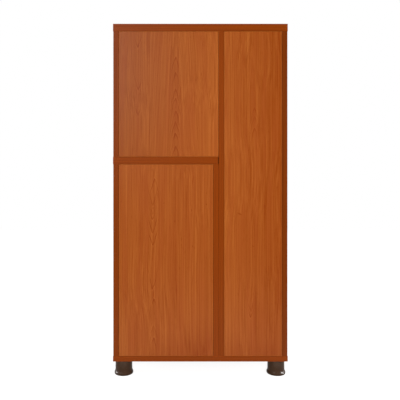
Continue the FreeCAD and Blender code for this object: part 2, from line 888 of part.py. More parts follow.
def make_hinge_pin():
    body = new_body("hinge_pin")
    length = (size.arm_width / 2 + size.cup_ear_gap + size.cup_ear_thickness) * 2
    circle = draw_circle(new_sketch(body, "XY_Plane"), zero, zero, hinge_pin_radius)
    pad(body, circle, length, "Symmetric")
    return body


hinge_arm = make_hinge_arm()
hinge_plate = make_hinge_plate()
hinge_cup = make_hinge_cup()
hinge_pin = make_hinge_pin()


# Push latches, drawn about the plunger: Z runs to the rear, X from the panel into the bay

plunger_radius = size.plunger_diameter / 2
latch_front = (
    size.strike_thickness + size.latch_contact_gap + size.plunger_head_thickness
    + size.latch_travel + size.latch_stop_gap
)


def make_latch_housing():
    """A closed tube on a mounting plate, open at the front for the plunger."""
    body = new_body("latch_housing")
    tube_radius = size.latch_tube_diameter / 2
    plate_face = size.latch_plate_thickness - size.latch_offset
    half_width = size.latch_plate_width / 2
    half_web = size.latch_web_width / 2
    section = [
        (-size.latch_offset, -half_width), (plate_face, -half_width), (plate_face, -half_web),
        (zero, -half_web), (zero, half_web), (plate_face, half_web),
        (plate_face, half_width), (-size.latch_offset, half_width),
    ]
    pad(body, draw_outline(new_sketch(body, "XY_Plane"), section), size.latch_plate_length)
    pad(body, draw_circle(new_sketch(body, "XY_Plane"), zero, zero, tube_radius), size.latch_tube_length)
    bore = draw_circle(new_sketch(body, "XY_Plane"), zero, zero, plunger_radius + size.plunger_clearance)
    pocket(body, bore, size.latch_bore_depth, flip=True)
    return body


latch_housing = make_latch_housing()
plunger = turned("plunger", [
    (zero, zero),
    (size.plunger_head_diameter / 2, zero),
    (size.plunger_head_diameter / 2, size.plunger_head_thickness),
    (plunger_radius, size.plunger_head_thickness),
    (plunger_radius, size.plunger_length),
    (zero, size.plunger_length),
])
strike_plate = turned("strike_plate", [
    (zero, zero),
    (size.strike_diameter / 2, zero),
    (size.strike_diameter / 2, size.strike_thickness / 2),
    (size.strike_diameter / 2 - size.strike_thickness / 2, size.strike_thickness),
    (zero, size.strike_thickness),
])


# Doors: the panel and its edge bands, hung on the outer side of the bay and latched at the other

hinge_arms = []
hinge_plates = []


def door(name, bay, hinged_on, hinge_heights, latch_height):
    left_hung = hinged_on == "left"
    inward = "+x" if left_hung else "-x"
    turn = along["+z"] if left_hung else half_turn
    left, right = bay["x"]
    gaps = (hinge_gap, size.door_gap) if left_hung else (size.door_gap, hinge_gap)
    x = (left + gaps[0], right - gaps[1])
    z = (bay["z"][0] + size.door_gap, bay["z"][1] - size.door_gap)
    y = (door_front, door_back)
    band = size.door_edging
    inner_x = (x[0] + band, x[1] - band)
    inner_z = (z[0] + band, z[1] - band)
    pin_x = left + panel_reach if left_hung else right - panel_reach
    cup_x = pin_x + size.cup_offset if left_hung else pin_x - size.cup_offset
    panel = f"{name}_door_panel"
    cups = []
    pins = []
    for height in hinge_heights:
        cups.append(copy_of(hinge_cup, turn, pin_x, pin_y, height))
        pins.append(copy_of(hinge_pin, turn, pin_x, pin_y, height))
        hinge_arms.append(copy_of(hinge_arm, turn, pin_x, pin_y, height))
        hinge_plates.append(copy_of(hinge_plate, turn, pin_x, pin_y, height))
        cup_depth = size.door_thickness - size.cup_door_skin
        drill(panel, "-y", size.cup_diameter, cup_depth, cup_x, door_back, height)
    group(f"{name}_door_hinge_cups", cups)
    group(f"{name}_door_hinge_pins", pins)
    board(panel, inner_x, y, inner_z)
    corner = size.door_edging_round
    group(f"{name}_door_edge_bands", [
        edge_band(f"{name}_door_left_band", (x[0], inner_x[0]), y, z, "-x", corner),
        edge_band(f"{name}_door_right_band", (inner_x[1], x[1]), y, z, "+x", corner),
        edge_band(f"{name}_door_bottom_band", inner_x, y, (z[0], inner_z[0]), "-z", corner),
        edge_band(f"{name}_door_top_band", inner_x, y, (inner_z[1], z[1]), "+z", corner),
    ])
    latch(name, left_hung, right if left_hung else left, latch_height)


def latch(name, left_hung, face, height):
    x = face - size.latch_offset if left_hung else face + size.latch_offset
    turn = half_turn.multiply(along["+y"]) if left_hung else along["+y"]
    head_front = door_back + size.strike_thickness + size.latch_contact_gap
    group(f"{name}_door_strike_plate", [copy_of(strike_plate, along["+y"], x, door_back, height)])
    group(f"{name}_latch_plunger", [copy_of(plunger, along["+y"], x, head_front, height)])
    group(f"{name}_latch_housing", [copy_of(latch_housing, turn, x, door_back + latch_front, height)])


def hinge_pair(bay):
    return [bay["z"][0] + size.hinge_end_distance, bay["z"][1] - size.hinge_end_distance]


tall_middle = (bays["tall"]["z"][0] + bays["tall"]["z"][1]) / 2
for bay_name in ("upper", "lower"):
    bay = bays[bay_name]
    door(bay_name, bay, "left", hinge_pair(bay), bay["z"][1] - size.latch_end_distance)
door("tall", bays["tall"], "right", hinge_pair(bays["tall"]) + [tall_middle], tall_middle)
group("hinge_arms", hinge_arms)
group("hinge_mounting_plates", hinge_plates)


# Boards and their edge bands

flat_boards = {
    "top_panel": {"x": (-half_width, half_width), "z": (top_bottom, top_top), "banded_right": True},
    "mid_panel": {"x": (-half_width, mid_right), "z": (mid_bottom, mid_top), "banded_right": False},
    "base_panel": {"x": (-half_width, half_width), "z": (base_bottom, base_top), "banded_right": True},
}
for name, flat in flat_boards.items():
    low, high = flat["x"]
    z = flat["z"]
    core_low = low + size.board_edging
    core_high = high - size.board_edging if flat["banded_right"] else high
    board(name, (core_low, core_high), (core_front, rear), z)
    y = (core_front, rear)
    corner = size.edging_round
    bands = [
        edge_band(f"{name}_front_band", flat["x"], (front, core_front), z, "-y", corner),
        edge_band(f"{name}_left_band", (low, core_low), y, z, "-x", corner),
    ]
    if flat["banded_right"]:
        bands.append(edge_band(f"{name}_right_band", (core_high, high), y, z, "+x", corner))
    group(name.replace("panel", "edge_bands"), bands)

upright_bands = []
for name, upright in uprights.items():
    x, z = upright["x"], upright["z"]
    board(name, x, (core_front, rear), z)
    upright_bands.append(edge_band(f"{name}_band", x, (front, core_front), z, "-y", size.edging_round))
group("upright_edge_bands", upright_bands)


# Checks and output

doc.recompute()
failed = [o.Label for o in doc.Objects if "Invalid" in o.State or "Error" in o.State]
if failed:
    raise RuntimeError(f"failed objects: {failed}")
for name, node in nodes.items():
    if node.Shape.isNull() or not node.Shape.isValid() or not node.Shape.Solids:
        raise RuntimeError(f"bad shape: {name}")

os.makedirs("parts", exist_ok=True)
for name, node in nodes.items():
    node.Shape.exportStep(f"parts/{name}.step")
print(f"{len(nodes)} nodes, {sum(len(n.Shape.Solids) for n in nodes.values())} solids")
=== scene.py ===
import math

import bpy
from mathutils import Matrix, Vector


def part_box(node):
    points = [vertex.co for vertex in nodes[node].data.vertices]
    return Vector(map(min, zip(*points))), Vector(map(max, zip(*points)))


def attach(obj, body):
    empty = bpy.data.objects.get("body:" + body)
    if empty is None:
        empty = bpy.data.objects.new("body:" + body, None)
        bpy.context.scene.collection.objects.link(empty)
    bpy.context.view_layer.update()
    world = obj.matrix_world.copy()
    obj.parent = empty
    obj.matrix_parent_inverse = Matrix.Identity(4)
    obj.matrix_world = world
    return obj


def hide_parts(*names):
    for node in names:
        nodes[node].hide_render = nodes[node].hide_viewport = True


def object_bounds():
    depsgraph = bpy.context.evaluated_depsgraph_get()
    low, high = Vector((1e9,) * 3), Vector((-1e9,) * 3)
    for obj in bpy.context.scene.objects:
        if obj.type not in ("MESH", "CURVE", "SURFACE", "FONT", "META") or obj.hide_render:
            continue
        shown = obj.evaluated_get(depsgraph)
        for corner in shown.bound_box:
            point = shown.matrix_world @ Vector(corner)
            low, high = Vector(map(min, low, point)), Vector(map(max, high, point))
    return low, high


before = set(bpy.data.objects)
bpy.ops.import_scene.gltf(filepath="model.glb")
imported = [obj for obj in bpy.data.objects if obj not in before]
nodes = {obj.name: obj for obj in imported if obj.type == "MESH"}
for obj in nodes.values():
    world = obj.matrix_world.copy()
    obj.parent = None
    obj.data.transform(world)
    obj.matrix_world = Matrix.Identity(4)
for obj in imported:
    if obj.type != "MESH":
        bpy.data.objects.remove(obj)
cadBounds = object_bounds()
print("frame loaded:", len(nodes), "nodes")

mm = 0.001
doorNames = ("upper", "lower", "tall")


# one node of a shader or geometry tree: its inputs are a list in the node's own order, or a dictionary by
# name or place, and each is a value or another node's socket
def addNode(tree, kind, inputs=(), **settings):
    made = tree.nodes.new(kind)
    for name, value in settings.items():
        setattr(made, name, value)
    for key, value in inputs.items() if isinstance(inputs, dict) else enumerate(inputs):
        if isinstance(value, bpy.types.NodeSocket):
            tree.links.new(value, made.inputs[key])
        else:
            made.inputs[key].default_value = value
    return made


def linearColour(hexColour):
    channels = [int(hexColour[i:i + 2], 16) / 255 for i in (1, 3, 5)]
    lin = [c / 12.92 if c <= 0.04045 else ((c + 0.055) / 1.055) ** 2.4 for c in channels]
    return (*lin, 1.0)


def newMaterial(name):
    material = bpy.data.materials.new(name)
    material.use_nodes = True
    material.node_tree.nodes.clear()
    return material, material.node_tree


def finishMaterial(tree, shader):
    addNode(tree, "ShaderNodeOutputMaterial", {"Surface": shader.outputs[0]})


# a piece's own coordinates, and its places among them in millimetres
def ownPlaces(tree):
    coords = addNode(tree, "ShaderNodeTexCoord")
    place = addNode(tree, "ShaderNodeVectorMath", {0: coords.outputs["Object"], "Scale": 1 / mm},
                    operation="SCALE")
    return coords, place.outputs[0]


# camera: straight at the doors, level with the middle of the cabinet and a little to its left
cameraSettings = {
    "framePixels": 400,
    "topBoardPixels": (113.0, 287.75),   # left and right end of the top board in the photo
    "baseUndersidePixel": 361.6,
    "distance": 1.5,                     # to the front plane; sets how far the feet are seen from above
    "aside": -0.074,                     # from the middle; sets how far the feet are seen from the left
    "sensor": 36.0,
}


def makeCamera(settings):
    low, high = cadBounds
    left, right = settings["topBoardPixels"]
    metresPerPixel = (high[0] - low[0]) / (right - left)
    middle = settings["framePixels"] / 2
    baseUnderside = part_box("base_panel")[0].z
    camera = bpy.data.objects.new("camera", bpy.data.cameras.new("camera"))
    camera.location = (
        (middle - (left + right) / 2) * metresPerPixel + settings["aside"],
        low[1] - settings["distance"],
        baseUnderside + (settings["baseUndersidePixel"] - middle) * metresPerPixel,
    )
    camera.rotation_euler = (math.radians(90), 0, 0)
    camera.data.sensor_width = settings["sensor"]
    camera.data.lens = settings["sensor"] * settings["distance"] / (settings["framePixels"] * metresPerPixel)
    camera.data.shift_x = -settings["aside"] / (settings["framePixels"] * metresPerPixel)
    bpy.context.scene.collection.objects.link(camera)
    bpy.context.scene.camera = camera


makeCamera(cameraSettings)
bpy.context.scene.view_settings.view_transform = "Standard"
print("camera placed")


# stage: white all round, a pale floor that keeps the shadow, a large soft box in front, small ones beside,
# and lamps that show only as a gleam on the doors and the feet
stageSettings = {
    "white": "#FFFFFF",
    "worldSeen": 1.0,                    # what the camera and the reflections see of the world: 1 is white
    "ambient": 0.5,                      # what the world gives the object
    "floorColour": "#A6A6A4",
    "floorGlow": 0.9,                    # what is seen of the floor besides the light that falls on it
    "floorSize": 14.0,
    "plainLamp": {"spread": 180, "diffuse": True, "glossy": True},
    "lamps": {
        "frontSoftBox": {
            "place": (0.25, -2.4, 0.8), "aim": (0.05, -0.2, 0.6), "size": (1.2, 1.2), "power": 31,
            "glossy": False,
        },
        "upperLeftGleam": {
            "place": (-1.15, -1.9, 1.7), "aim": (-0.18, -0.2, 1.08), "size": (1.0, 1.0), "power": 11.5,
            "spread": 50, "diffuse": False,
        },
        "lowGleam": {
            "place": (-0.12, -0.68, 0.02), "aim": (-0.12, -0.66, 1.0), "size": (1.36, 0.85), "power": 11,
            "diffuse": False,
        },
        "leftSoftBox": {"place": (-1.6, 0.05, 0.45), "aim": (-0.3, 0, 0.4), "size": (0.3, 0.4), "power": 4},
        "rightSoftBox": {"place": (1.6, 0.05, 0.45), "aim": (0.3, 0, 0.4), "size": (0.3, 0.4), "power": 4},
        "leftGleam": {
            "place": (-0.6, -0.154, 0.13), "aim": (-0.285, -0.17, 0.01), "size": (0.07, 0.07), "power": 0.24,
            "spread": 30, "diffuse": False,
        },
        "rightGleam": {
            "place": (0.58, -0.23, 0.14), "aim": (0.285, -0.17, 0.01), "size": (0.07, 0.07), "power": 0.55,
            "spread": 30, "diffuse": False,
        },
    },
}


# 1 for what the camera sees, itself, in a reflection or through glass, and 0 for what only lights the object
def seenDirectly(tree):
    path = addNode(tree, "ShaderNodeLightPath")
    either = addNode(tree, "ShaderNodeMath", [path.outputs["Is Camera Ray"], path.outputs["Is Glossy Ray"]],
                     operation="MAXIMUM")
    return addNode(tree, "ShaderNodeMath", [either.outputs[0], path.outputs["Is Transmission Ray"]],
                   operation="MAXIMUM").outputs[0]


def makeWorld(settings):
    world = bpy.data.worlds.new("studio")
    world.use_nodes = True
    tree = world.node_tree
    tree.nodes.clear()
    white = linearColour(settings["white"])
    lit = addNode(tree, "ShaderNodeBackground", {"Color": white, "Strength": settings["ambient"]})
    seen = addNode(tree, "ShaderNodeBackground", {"Color": white, "Strength": settings["worldSeen"]})
    mixed = addNode(tree, "ShaderNodeMixShader", [seenDirectly(tree), lit.outputs[0], seen.outputs[0]])
    addNode(tree, "ShaderNodeOutputWorld", {"Surface": mixed.outputs[0]})
    bpy.context.scene.world = world


def makeFloor(settings):
    half = settings["floorSize"] / 2
    mesh = bpy.data.meshes.new("floor")
    corners = [(-half, -half, 0), (half, -half, 0), (half, half, 0), (-half, half, 0)]
    mesh.from_pydata(corners, [], [(0, 1, 2, 3)])
    floor = bpy.data.objects.new("floor", mesh)
    bpy.context.scene.collection.objects.link(floor)
    paper, tree = newMaterial("studioPaper")
    matt = addNode(tree, "ShaderNodeBsdfDiffuse", {"Color": linearColour(settings["floorColour"])})
    glow = addNode(tree, "ShaderNodeMath", [seenDirectly(tree), settings["floorGlow"]], operation="MULTIPLY")
    seen = addNode(tree, "ShaderNodeEmission", [linearColour(settings["white"]), glow.outputs[0]])
    finishMaterial(tree, addNode(tree, "ShaderNodeAddShader", [matt.outputs[0], seen.outputs[0]]))
    mesh.materials.append(paper)


def makeLamps(settings):
    for name, own in settings["lamps"].items():
        lamp = {**settings["plainLamp"], **own}
        light = bpy.data.lights.new(name, "AREA")
        light.shape = "RECTANGLE"
        light.size, light.size_y = lamp["size"]
        light.energy = lamp["power"]
        light.spread = math.radians(lamp["spread"])
        holder = bpy.data.objects.new(name, light)
        holder.location = lamp["place"]
        holder.rotation_euler = (Vector(lamp["aim"]) - holder.location).to_track_quat("-Z", "Y").to_euler()
        holder.visible_camera = False
        holder.visible_diffuse = lamp["diffuse"]
        holder.visible_glossy = lamp["glossy"]
        bpy.context.scene.collection.objects.link(holder)


makeWorld(stageSettings)
makeFloor(stageSettings)
makeLamps(stageSettings)
print("stage set")


# Melamine-faced chipboard with a printed cherry decor: satin, streaked along the board, with a few arched
# figures where the print shows the heart of the tree. Lengths here and below are in millimetres, and four
# numbers in a row are the part of a noise that counts and what it gives at its ends.
cherrySettings = {
    "light": "#B66122",
    "dark": "#953F00",
    "red": "#A44B15",
    "layers": {                          # width, length and detail; the later ones follow the sway
        "sway": (150.0, 420.0, 1.0),
        "streak": (5.0, 1000.0, 3.0),
        "line": (2.2, 520.0, 2.0),
        "gleam": (3.6, 800.0, 1.0),
        "hue": (22.0, 380.0, 1.0),
        "fleck": (1.5, 16.0, 1.0),
        "pore": (0.7, 9.0, 1.0),
    },
    "layerRoughness": 0.6,
    "sway": (0.3, 0.7, -7.0, 7.0),       # how far the streaks wander sideways
    "tones": {                           # 0 is light and 1 is dark
        "streak": (0.3, 0.7, 0.19, 0.81),
        "line": (0.3, 0.7, -0.2, 0.2),
        "gleam": (0.58, 0.7, 0.0, -0.3),
        "fleck": (0.62, 0.78, 0.0, 0.4),
    },
    "toneLimits": (-0.3, 1.2),           # the palest and the darkest line
    "redShare": (0.42, 0.7, 0.0, 0.5),
    "roughness": (0.35, 0.7, 0.38, 0.52),
    "poreBump": 0.05,
    "poreDepth": 0.2,
    "ior": 1.45,
    "specular": 0.08,
}
# the print's figures: where each lies across the door, the way its arches point (1 up, -1 down), the heights
# of the arches' tips, by what share the streaks beside it draw together in a metre, and how dark it is
doorFigures = {
    "upper": (
        {"across": -85.0, "turn": 1, "tips": (793, 838, 877, 914, 957, 989, 1046, 1099), "flow": 1.3,
         "strength": 1.0},
        {"across": -213.8, "turn": -1, "tips": (894, 982, 1128), "flow": 0.0, "strength": 0.65},
    ),
    "lower": (
        {"across": -157.5, "turn": 1, "tips": (680,), "flow": 0.0, "strength": 0.8},
        {"across": -163.5, "turn": -1, "tips": (298, 449, 491, 538, 555, 573, 585), "flow": 0.0,
         "strength": 1.15},
        {"across": -161.0, "turn": 1, "tips": (134, 175, 268), "flow": 0.0, "strength": 0.9},
    ),
    "tall": (
        {"across": 172.8, "turn": -1, "tips": (201, 221), "flow": 0.0, "strength": 0.95},
        {"across": 186.0, "turn": 1, "tips": (854, 894, 925), "flow": 0.0, "strength": 0.6},
    ),
}
# painted shade, partly a slow change of the print's tone: each door darkens slowly across towards where the
# light falls off. Two places across it, and at each the tone that is added and the share of its colour that
# it keeps
doorToneAndPaintedShade = {
    "upper": {"places": (-260.0, 20.0), "tones": (0.0, -0.2), "paintedShadeShares": (0.88, 1.0)},
    "lower": {"places": (-270.0, 50.0), "tones": (-0.07, 0.0), "paintedShadeShares": (1.0, 1.0)},
    "tall": {"places": (90.0, 275.0), "tones": (-0.14, 0.26), "paintedShadeShares": (1.0, 1.0)},
}
# flecks and streaks of the print, and wide clouds that make the lower and tall doors darker towards the
# bottom:
# across, height, half width, half height and tilt of each, then its tone if it isn't a fleck's usual one
# (below zero is pale)
doorFlecks = {
    "upper": ((-15.3, 1018, 2.0, 5.0, 0, 0.35), (3.0, 1038, 1.5, 8.0, 0), (-156.8, 1089, 1.5, 12.0, 0),
              (-112.0, 970, 2.8, 190.0, 1.7, -0.32), (-61.0, 950, 2.6, 170.0, -2.6, -0.28),
              (-20.0, 960, 1.5, 170.0, 0, 0.35), (-87.0, 950, 20.0, 200.0, 0, 0.14)),
    "lower": ((-125.6, 595, 3.0, 2.2, 0), (-88.5, 533, 3.0, 3.0, 0), (-30.0, 571, 1.8, 5.0, 0),
              (21.0, 591, 3.0, 2.5, 0), (-26.8, 447, 2.5, 4.0, 0), (-273.0, 601, 2.5, 2.5, 0),
              (-25.7, 672, 1.8, 20.0, 8), (-160.7, 284, 2.2, 20.0, 0), (-82.0, 293, 1.6, 33.0, 0),
              (-28.0, 325, 1.6, 30.0, 4), (20.0, 85, 95.0, 110.0, 0, 0.2),
              (-60.0, 70, 150.0, 70.0, 0, 0.2)),
    "tall": ((135.3, 558, 9.0, 2.8, 27, 0.6), (182.0, 447, 5.0, 2.0, 10), (100.0, 85, 45.0, 80.0, 0, 0.16),
             (185.0, 65, 130.0, 60.0, 0, 0.2)),
}


def cherryMelamine(name, grain="z", face=None, figures=(), flecks=(), toneAndPaintedShade=None):
    s = cherrySettings
    material, tree = newMaterial(name)
    coords, place = ownPlaces(tree)
    printed = place
    noises = {}
    for layer, (width, length, detail) in s["layers"].items():
        fineness = [1 / length if axis == grain else 1 / width for axis in "xyz"]
        scaled = addNode(tree, "ShaderNodeVectorMath", [printed, fineness], operation="MULTIPLY")
        noise = addNode(tree, "ShaderNodeTexNoise", {
            "Vector": scaled.outputs[0], "Scale": 1.0, "Detail": detail, "Roughness": s["layerRoughness"],
        })
        noises[layer] = noise.outputs[0]
        if layer == "sway":
            printed = addSway(tree, place, noises[layer], grain)
            for figure in figures:
                printed = addFlow(tree, place, printed, figure)
    shade = 0.0
    for layer, tones in s["tones"].items():
        tone = addNode(tree, "ShaderNodeMapRange", [noises[layer], *tones])
        shade = addNode(tree, "ShaderNodeMath", [tone.outputs[0], shade], operation="ADD").outputs[0]
    # painted shade: the slow tone across the door darkens it where the light falls off, along with a slow
    # change of the print's tone
    if toneAndPaintedShade:
        slowToneAndShade = acrossDoor(tree, place, toneAndPaintedShade["places"], toneAndPaintedShade["tones"])
        shade = addNode(tree, "ShaderNodeMath", [shade, slowToneAndShade], operation="ADD").outputs[0]
    for figure in figures:
        shade = addFigure(tree, place, shade, figure)
    for fleck in flecks:
        shade = addFleck(tree, place, shade, fleck)
    shade = addNode(tree, "ShaderNodeClamp", [shade, *s["toneLimits"]]).outputs[0]
    base = addNode(tree, "ShaderNodeMix", {0: shade, 6: linearColour(s["light"]), 7: linearColour(s["dark"])},
                   data_type="RGBA", clamp_factor=False)
    redShare = addNode(tree, "ShaderNodeMapRange", [noises["hue"], *s["redShare"]])
    tinted = addNode(tree, "ShaderNodeMix", {0: redShare.outputs[0], 6: base.outputs[2],
                                             7: linearColour(s["red"])}, data_type="RGBA")
    colour = tinted.outputs[2]
    # painted shade: the colour is dimmed across the door where the light falls off
    if toneAndPaintedShade:
        share = acrossDoor(tree, place, toneAndPaintedShade["places"], toneAndPaintedShade["paintedShadeShares"])
        colour = addNode(tree, "ShaderNodeVectorMath", {0: colour, "Scale": share},
                         operation="SCALE").outputs[0]
    rough = addNode(tree, "ShaderNodeMapRange", [noises["pore"], *s["roughness"]]).outputs[0]
    bump = addNode(tree, "ShaderNodeBump", {"Height": noises["pore"], "Strength": s["poreBump"],
                                            "Distance": s["poreDepth"] * mm})
    if face:
        colour, rough = addChipboardEdges(tree, place, coords, face, colour, rough)
    finishMaterial(tree, addNode(tree, "ShaderNodeBsdfPrincipled", {
        "Base Color": colour, "Roughness": rough, "Normal": bump.outputs[0],
        "IOR": s["ior"], "Specular IOR Level": s["specular"],
    }))
    return material


# the print, moved from side to side along the board
def addSway(tree, place, noise, grain):
    aside = addNode(tree, "ShaderNodeMapRange", [noise, *cherrySettings["sway"]], clamp=False)
    acrossGrain = [0.0 if axis == grain else 1.0 for axis in "xyz"]
    shift = addNode(tree, "ShaderNodeVectorMath", {0: acrossGrain, "Scale": aside.outputs[0]},
                    operation="SCALE")
    return addNode(tree, "ShaderNodeVectorMath", [place, shift.outputs[0]]).outputs[0]


# a value that goes slowly from one end to the other between two places across a door
def acrossDoor(tree, place, places, ends):
    axes = addNode(tree, "ShaderNodeSeparateXYZ", [place])
    return addNode(tree, "ShaderNodeMapRange", [axes.outputs[0], *places, *ends]).outputs[0]


figureSettings = {
    "flowReach": (35.0, 110.0),          # up to here the streaks draw together in full, from here not at all
    "slope": 0.9,                        # an arch falls by this times its half width to the power below
    "power": 1.5,
    "reach": (2.0, 30.0),                # up to here an arch has its full tone, and here it ends
    "lateWood": 14.0,                    # how far a line fades inside its arch
    "lateShare": 0.5,                    # and at most, as a share of the way to the next line
    "lateTone": 0.9,
    "earlyWood": 11.0,                   # the same outside it, where it is pale
    "earlyShare": 0.4,
    "earlyTone": -0.36,
    "wobbleSize": 40.0,                  # what makes the arches uneven
    "wobbleDetail": 2.0,
    "wobble": (0.25, 0.75, -3.0, 3.0),
    "patchSize": 30.0,                   # the patches in which a figure is weaker or stronger
    "patchDetail": 1.0,
    "patchForce": (0.35, 0.65, 0.35, 1.25),
}


# the streaks beside a figure draw together towards its top
def addFlow(tree, place, printed, figure):
    if not figure["flow"]:
        return printed
    axes = addNode(tree, "ShaderNodeSeparateXYZ", [place])
    aside = addNode(tree, "ShaderNodeMath", [axes.outputs[0], figure["across"]], operation="SUBTRACT")
    gap = addNode(tree, "ShaderNodeMath", [aside.outputs[0]], operation="ABSOLUTE")
    reach = figureSettings["flowReach"]
    near = addNode(tree, "ShaderNodeMapRange", [gap.outputs[0], *reach, figure["flow"] * mm, 0.0],
                   interpolation_type="SMOOTHSTEP")
    middle = sum(figure["tips"]) / len(figure["tips"])
    rise = addNode(tree, "ShaderNodeMath", [axes.outputs[2], middle], operation="SUBTRACT")
    amount = addNode(tree, "ShaderNodeMath", [aside.outputs[0], rise.outputs[0]], operation="MULTIPLY")
    amount = addNode(tree, "ShaderNodeMath", [amount.outputs[0], near.outputs[0]], operation="MULTIPLY")
    shift = addNode(tree, "ShaderNodeCombineXYZ", [amount.outputs[0]])
    return addNode(tree, "ShaderNodeVectorMath", [printed, shift.outputs[0]]).outputs[0]


# arches of the growth rings: narrow, stacked along the grain, dark inside each line and pale outside it
def addFigure(tree, place, shade, figure):
    s = figureSettings
    noise = addNode(tree, "ShaderNodeTexNoise", {"Vector": place, "Scale": 1 / s["wobbleSize"],
                                                 "Detail": s["wobbleDetail"]})
    wobble = addNode(tree, "ShaderNodeMapRange", [noise.outputs[0], *s["wobble"]])
    axes = addNode(tree, "ShaderNodeSeparateXYZ", [place])
    across = addNode(tree, "ShaderNodeMath", [axes.outputs[0], figure["across"]], operation="SUBTRACT")
    across = addNode(tree, "ShaderNodeMath", [across.outputs[0], wobble.outputs[0]], operation="ADD")
    gap = addNode(tree, "ShaderNodeMath", [across.outputs[0]], operation="ABSOLUTE")
    bent = addNode(tree, "ShaderNodeMath", [gap.outputs[0], s["power"]], operation="POWER")
    rise = addNode(tree, "ShaderNodeMath", [axes.outputs[2], figure["turn"]], operation="MULTIPLY")
    along = addNode(tree, "ShaderNodeMath", [bent.outputs[0], s["slope"], rise.outputs[0]],
                    operation="MULTIPLY_ADD")
    # a curve counts the lines: each is a whole number, with its fades just below and above it
    tips = sorted(tip * figure["turn"] for tip in figure["tips"])
    first = tips[0] - s["lateWood"]
    last = tips[-1] + s["earlyWood"]
    counts = []
    for i, tip in enumerate(tips):
        below = tip - tips[i - 1] if i else 2 * s["lateWood"]
        above = tips[i + 1] - tip if tip < tips[-1] else 2 * s["earlyWood"]
        counts.append((tip - min(s["lateWood"], below * s["lateShare"]), i + 1 - s["lateShare"]))
        counts.append((tip, i + 1))
        counts.append((tip + min(s["earlyWood"], above * s["earlyShare"]), i + 1 + s["earlyShare"]))
    share = addNode(tree, "ShaderNodeMapRange", [along.outputs[0], first, last])
    curve = addNode(tree, "ShaderNodeFloatCurve", {"Value": share.outputs[0]})
    points = curve.mapping.curves[0].points
    while len(points) < len(counts):
        points.new(0.5, 0.5)
    for point, (height, count) in zip(points, counts):
        point.location = ((height - first) / (last - first), count / (len(tips) + 1))
        point.handle_type = "VECTOR"
    curve.mapping.update()
    counted = addNode(tree, "ShaderNodeMath", [curve.outputs[0], len(tips) + 1.0], operation="MULTIPLY")
    wave = addNode(tree, "ShaderNodeMath", [counted.outputs[0]], operation="FRACT")
    late = addNode(tree, "ShaderNodeMapRange", [wave.outputs[0], 1 - s["lateShare"], 1.0, 0.0, s["lateTone"]])
    early = addNode(tree, "ShaderNodeMapRange", [wave.outputs[0], 0.0, s["earlyShare"], s["earlyTone"], 0.0])
    line = addNode(tree, "ShaderNodeMath", [late.outputs[0], early.outputs[0]], operation="ADD")
    near = addNode(tree, "ShaderNodeMapRange", [gap.outputs[0], *s["reach"], figure["strength"], 0.0],
                   interpolation_type="SMOOTHSTEP")
    patch = addNode(tree, "ShaderNodeTexNoise", {"Vector": place, "Scale": 1 / s["patchSize"],
                                                 "Detail": s["patchDetail"]})
    patchy = addNode(tree, "ShaderNodeMapRange", [patch.outputs[0], *s["patchForce"]])
    force = addNode(tree, "ShaderNodeMath", [near.outputs[0], patchy.outputs[0]], operation="MULTIPLY")
    return addNode(tree, "ShaderNodeMath", [line.outputs[0], force.outputs[0], shade],
                   operation="MULTIPLY_ADD").outputs[0]


fleckSettings = {
    "tone": 0.42,
    "fade": (0.3, 1.3),                  # where it starts and ends to fade, in half widths and heights
    "depth": 10000.0,                    # it runs through the whole board
}


# one fleck, drawn out along or across the grain
def addFleck(tree, place, shade, fleck):
    s = fleckSettings
    across, height, halfWidth, halfHeight, tilt, *own = fleck
    tone = own[0] if own else s["tone"]
    centred = addNode(tree, "ShaderNodeMapping", {
        "Vector": place, "Location": (across, 0, height), "Rotation": (0, math.radians(tilt), 0),
        "Scale": (halfWidth, s["depth"], halfHeight),
    }, vector_type="TEXTURE")
    away = addNode(tree, "ShaderNodeVectorMath", [centred.outputs[0]], operation="LENGTH")
    faded = addNode(tree, "ShaderNodeMapRange", [away.outputs["Value"], *s["fade"], tone, 0.0],
                    interpolation_type="SMOOTHSTEP")
    return addNode(tree, "ShaderNodeMath", [shade, faded.outputs[0]], operation="ADD").outputs[0]


chipboardSettings = {
    "light": "#C9A678",
    "dark": "#8F6B43",
    "chipSize": 2.4,
    "facing": 0.7,                       # surfaces turned further than this from the board's face are raw
    "roughness": 0.9,
}


# the raw chipboard that shows on unbanded edges and in the drilled holes
def addChipboardEdges(tree, place, coords, face, colour, rough):
    s = chipboardSettings
    chips = addNode(tree, "ShaderNodeTexVoronoi", {"Vector": place, "Scale": 1 / s["chipSize"]})
    chip = addNode(tree, "ShaderNodeMix", {0: chips.outputs["Color"], 6: linearColour(s["light"]),
                                           7: linearColour(s["dark"])}, data_type="RGBA")
    normal = addNode(tree, "ShaderNodeSeparateXYZ", [coords.outputs["Normal"]])
    facing = addNode(tree, "ShaderNodeMath", [normal.outputs["xyz".index(face)]], operation="ABSOLUTE")
    edge = addNode(tree, "ShaderNodeMath", [facing.outputs[0], s["facing"]], operation="LESS_THAN")
    mixed = addNode(tree, "ShaderNodeMix", {0: edge.outputs[0], 6: colour, 7: chip.outputs[2]},
                    data_type="RGBA")
    mixedRough = addNode(tree, "ShaderNodeMix", {0: edge.outputs[0], 2: rough, 3: s["roughness"]})
    return mixed.outputs[2], mixedRough.outputs[0]


# ABS edge band, extruded and printed with faint lines along its length: darker cherry on the carcass, and on
# the doors the colour of their faces
bandSettings = {
    "carcass": {"light": "#964004", "dark": "#843702", "roughness": (0.41, 0.51)},
    "door": {"light": "#BC6626", "dark": "#A45418", "roughness": (0.39, 0.49)},
    "lineWidth": 2.2,
    "lineLength": 420.0,
    "lineDetail": 2.0,
    "lineRange": (0.3, 0.7),             # the part of the lines' noise that counts
    "lineBump": 0.05,
    "lineDepth": 0.2,
    "outerSidesPaintedShade": {                      # painted shade: the outer uprights' bands are darker than the inner ones, where the light falls off
        "middle": -60.0,
        "places": (150.0, 345.0),
        "paintedShadeShares": (1.0, 0.76),
    },
    "ior": 1.5,
    "specular": 0.038,
}


